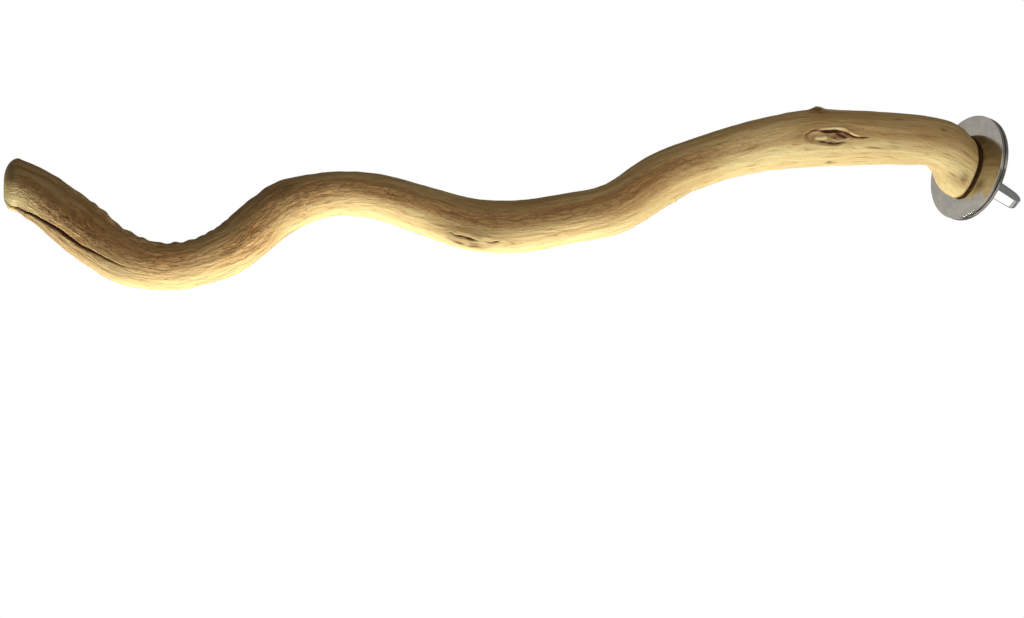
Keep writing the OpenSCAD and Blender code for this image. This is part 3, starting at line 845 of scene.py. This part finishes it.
def wing_rows(around=160):
    """A wing as rings of its outline, from the middle of one recess to that of the other.

    The outline is a round tip and a wider round foot joined by their tangents, and cut level
    above the washer. Each ring lies at its inset inside the outline, and its drop is how far
    it lies below the face, in the recess or on the round of the edge."""
    foot = np.array(FOOT_CENTRE)
    tip = np.array([WING_REACH - WING_TIP, WING_HEIGHT - WING_TIP])
    span = tip - foot
    lean = math.atan2(span[1], span[0])
    part = math.acos((WING_FOOT - WING_TIP) / np.linalg.norm(span))
    turns = np.concatenate([np.linspace(lean - part, lean + part, around // 2),
                            np.linspace(lean + part, lean - part + 2 * math.pi, around // 2)])
    middle = np.repeat([tip, foot], around // 2, axis=0)
    full = np.repeat([WING_TIP, WING_FOOT], around // 2)
    half = np.repeat([TIP_THICKNESS / 2, FOOT_THICKNESS / 2], around // 2)
    way = np.stack([np.cos(turns), np.sin(turns)], axis=-1)
    deep = WING_RIM * 1.25
    quarter = np.linspace(0, math.pi / 2, 7)[1:]
    sides = []
    for sign, edge in ((1, SOFT_EDGE), (-1, CRISP_EDGE)):
        rings = [(WING_TIP * 0.97 * (1 - t) + deep * t, WING_RECESS) for t in np.linspace(0, 1, 5)]
        rings += [(deep - (deep - edge) * math.sin(t), WING_RECESS * ease(1 - t / (math.pi / 2)))
                  for t in quarter]
        rings += [(edge * (1 - math.sin(t)), edge * (1 - math.cos(t))) for t in quarter]
        made = []
        for inset, drop in rings:
            points = middle + way * (full - inset)[:, None]
            points[:, 1] = np.maximum(points[:, 1], WING_LIFT + inset)
            made.append(np.column_stack([points, sign * (half - drop)]))
        sides.append(made)
    return np.array(sides[0] + sides[1][::-1])


def on_nut(points, half_turn):
    """From a wing's own (out, along, across) to the frame, turned about the stud."""
    turn = WING_TURN + math.pi * half_turn
    out, along_stud, across_wing = points[..., 0], points[..., 1], points[..., 2]
    y = out * math.cos(turn) - across_wing * math.sin(turn)
    z = out * math.sin(turn) + across_wing * math.cos(turn)
    return np.stack([WASHER_THICKNESS + along_stud, y, z], axis=-1)


nut_start, nut_end = WASHER_THICKNESS, WASHER_THICKNESS + BOSS_HEIGHT
bore = STUD_DIAMETER / 2 + NUT_GAP
boss_outline = rounded_outline(
    [(nut_start, bore), (nut_start, BOSS_BASE / 2), (nut_end, BOSS_TOP / 2), (nut_end, bore)],
    [BORE_BEVEL_BELOW, BASE_BEVEL, TOP_BEVEL, BORE_BEVEL_ABOVE])
nut = surface_piece("cast_wing_nut", turned_rows(boss_outline, 96), looped=True)
wings = [surface_piece(f"wing_{k}", on_nut(wing_rows(), k)) for k in (0, 1)]
# One skin over boss and wings, then smoothed, for the soft corners of a casting
with bpy.context.temp_override(active_object=nut, selected_editable_objects=[nut] + wings):
    bpy.ops.object.join()
cast = nut.modifiers.new("cast", "REMESH")
cast.mode = "VOXEL"
cast.voxel_size = CASTING_GRAIN
soft = nut.modifiers.new("soft", "SMOOTH")
soft.factor = 0.5
soft.iterations = 2
whole = nut.evaluated_get(bpy.context.evaluated_depsgraph_get())
nut.data = bpy.data.meshes.new_from_object(whole)
nut.modifiers.clear()
nut.data.shade_smooth()
# Nickel over a zinc casting: bright, smooth, with the faint waviness that polishing leaves, in
# waves 2.2 mm wide
WAVE_HEIGHT = 0.06 * MM
nickel, tree, shader, waviness = cloudy_metal("nickel_plated_casting", 2.222 * MM, "#BFC1BB",
                                              "#D2D3CD", 0.06, 0.18)
feed(tree, shader.inputs, {"Normal": node(tree, "Bump", {
    "Height": waviness, "Distance": WAVE_HEIGHT}).outputs["Normal"]})
nut.data.materials.clear()
nut.data.materials.append(nickel)
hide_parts("wing_nut")
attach(nut, "wing_nut")

# The studio
# A white sheet of paper far below the perch, in a studio that is white low on the stick's side
# and dark overhead and beyond, which shows only in the steel. Soft lamps light the stick from
# below and from the front, and one from behind. All of it is outside the object.
FLOOR_DEPTH = 5.0
SHEET_SIZE = 65.0
# How bright the paper is to the camera, and how much of its look is that glow
PAPER_GLOW, GLOW_SHARE = 1.15, 0.85
# How bright the steel sees it straight below and further out, and the distances between them
MIRRORED_BELOW, MIRRORED_OUT = 0.85, 0.25
MIRRORED_EDGE = (7.2, 9.4)
AMBIENT_LEVEL = 0.13
# How bright the steel sees the studio where it is darkest, and the way that it gets darker
MIRRORED_OVERHEAD = 0.24
OVERHEAD = (0.35, -0.1, 1.0)

sheet = bpy.data.meshes.new("floor")
sheet.from_pydata([(x * SHEET_SIZE / 2, y * SHEET_SIZE / 2, -FLOOR_DEPTH)
                   for x, y in ((-1, -1), (1, -1), (1, 1), (-1, 1))], [], [(0, 1, 2, 3)])
panel = bpy.data.objects.new("floor", sheet)
bpy.context.scene.collection.objects.link(panel)
paper, tree, shader = finish_named("white_paper")
feed(tree, shader.inputs, {"Base Color": tone("#F4F4F4"), "Roughness": 0.9})
ray = node(tree, "LightPath").outputs
way_out = node(tree, "VectorMath", {
    0: node(tree, "TexCoord").outputs["Object"]}, operation="LENGTH")
mirrored = node(tree, "MapRange", {
    "Value": way_out.outputs["Value"], "From Min": MIRRORED_EDGE[0], "From Max": MIRRORED_EDGE[1],
    "To Min": MIRRORED_BELOW, "To Max": MIRRORED_OUT}, interpolation_type="SMOOTHSTEP")
glow = node(tree, "Emission", {"Color": tone("#FFFFFF"), "Strength": node(
    tree, "Mix", {0: ray["Is Glossy Ray"], 2: PAPER_GLOW, 3: mirrored.outputs["Result"]}
    ).outputs[0]})
through = node(tree, "Math", {0: ray["Is Glossy Ray"], 1: ray["Is Transmission Ray"]},
               operation="MAXIMUM")
seen = node(tree, "Math", {0: ray["Is Camera Ray"], 1: through.outputs["Value"]},
            operation="MAXIMUM")
glowing = node(tree, "Math", {0: seen.outputs["Value"], 1: GLOW_SHARE},
               operation="MULTIPLY")
lit = node(tree, "MixShader", {
    0: glowing.outputs["Value"], 1: shader.outputs["BSDF"], 2: glow.outputs["Emission"]})
feed(tree, tree.nodes["Material Output"].inputs, {"Surface": lit.outputs["Shader"]})
panel.data.materials.append(paper)

# The world is white to the camera, dim on the object, and as the steel sees it in the steel
world = bpy.data.worlds.new("studio")
bpy.context.scene.world = world
world.use_nodes = True
tree = world.node_tree
ray = node(tree, "LightPath").outputs
skyward = node(tree, "VectorMath", {
    0: node(tree, "TexCoord").outputs["Generated"], 1: OVERHEAD},
    operation="DOT_PRODUCT")
mirrored = node(tree, "MapRange", {
    "Value": skyward.outputs["Value"], "From Min": 0.0, "From Max": 0.6, "To Min": 1.0,
    "To Max": MIRRORED_OVERHEAD})
lighting = node(tree, "Mix", {
    0: ray["Is Glossy Ray"], 2: AMBIENT_LEVEL, 3: mirrored.outputs["Result"]})
clear = node(tree, "Math", {0: ray["Is Camera Ray"], 1: ray["Is Transmission Ray"]},
             operation="MAXIMUM")
strength = node(tree, "Mix", {
    0: clear.outputs["Value"], 2: lighting.outputs[0], 3: 1.0})
feed(tree, tree.nodes["Background"].inputs, {
    "Color": (1, 1, 1, 1), "Strength": strength.outputs[0]})

# Square lamps: the target, where the lamp stands from it, its size, all in mm, and its level. A
# level of 1 lights a surface there that faces the lamp so that its colour renders as written:
# the power is level * (pi * distance)^2. Two key lamps lie under the far half, a wide one under
# the elbow, and two are near the washers and the far bend. The last is behind the perch
for name, target, away, size, level in (
        ("key_lamp_inward", (-222, 198, -45), (201, -61, -215), 70, 1.00),
        ("key_lamp_outward", (-222, 198, -45), (-75, 178, -229), 70, 1.06),
        ("lamp_below_elbow", (-45, 30, 4), (-6, -88, -287), 250, 0.37),
        ("lamp_by_washers", (-34, 29, 0), (-105, -193, -50), 240, 0.38),
        ("lamp_by_far_bend", (-212, 154, -42), (-36, -43, -90), 70, 0.40),
        ("lamp_behind", (-136, 118, -20), (347, 413, 263), 300, 0.40)):
    target, away = Vector(target) * MM, Vector(away) * MM
    light = bpy.data.lights.new(name, "AREA")
    light.shape = "SQUARE"
    light.size = size * MM
    light.energy = level * (math.pi * away.length) ** 2
    lamp = bpy.data.objects.new(name, light)
    lamp.location = target + away
    lamp.rotation_euler = away.to_track_quat("Z", "Y").to_euler()
    lamp.visible_camera = False
    bpy.context.scene.collection.objects.link(lamp)

# The camera
# It looks up at the perch from the front left with a long lens, as the photograph does.
AZIMUTH, ELEVATION = math.radians(-40), math.radians(-26)
PIXELS_PER_MM = 2.6885
ORIGIN_PIXEL = (969.51, 168.13)
PICTURE = (1024, 618)
LENS, SENSOR = 400.0, 36.0
right = Vector((math.cos(AZIMUTH), math.sin(AZIMUTH), 0))
back = Vector((math.sin(AZIMUTH) * math.cos(ELEVATION), -math.cos(AZIMUTH) * math.cos(ELEVATION),
               math.sin(ELEVATION)))
over = back.cross(right)
scale = MM / PIXELS_PER_MM
aim = (right * (PICTURE[0] / 2 - ORIGIN_PIXEL[0])
       - over * (PICTURE[1] / 2 - ORIGIN_PIXEL[1])) * scale
camera = bpy.data.objects.new("camera", bpy.data.cameras.new("camera"))
camera.data.lens = LENS
camera.data.sensor_width = SENSOR
camera.data.clip_end = 50
camera.location = aim + back * (PICTURE[0] * scale * LENS / SENSOR)
camera.rotation_euler = back.to_track_quat("Z", "Y").to_euler()
bpy.context.scene.collection.objects.link(camera)
bpy.context.scene.camera = camera
bpy.context.scene.view_settings.view_transform = "Standard"
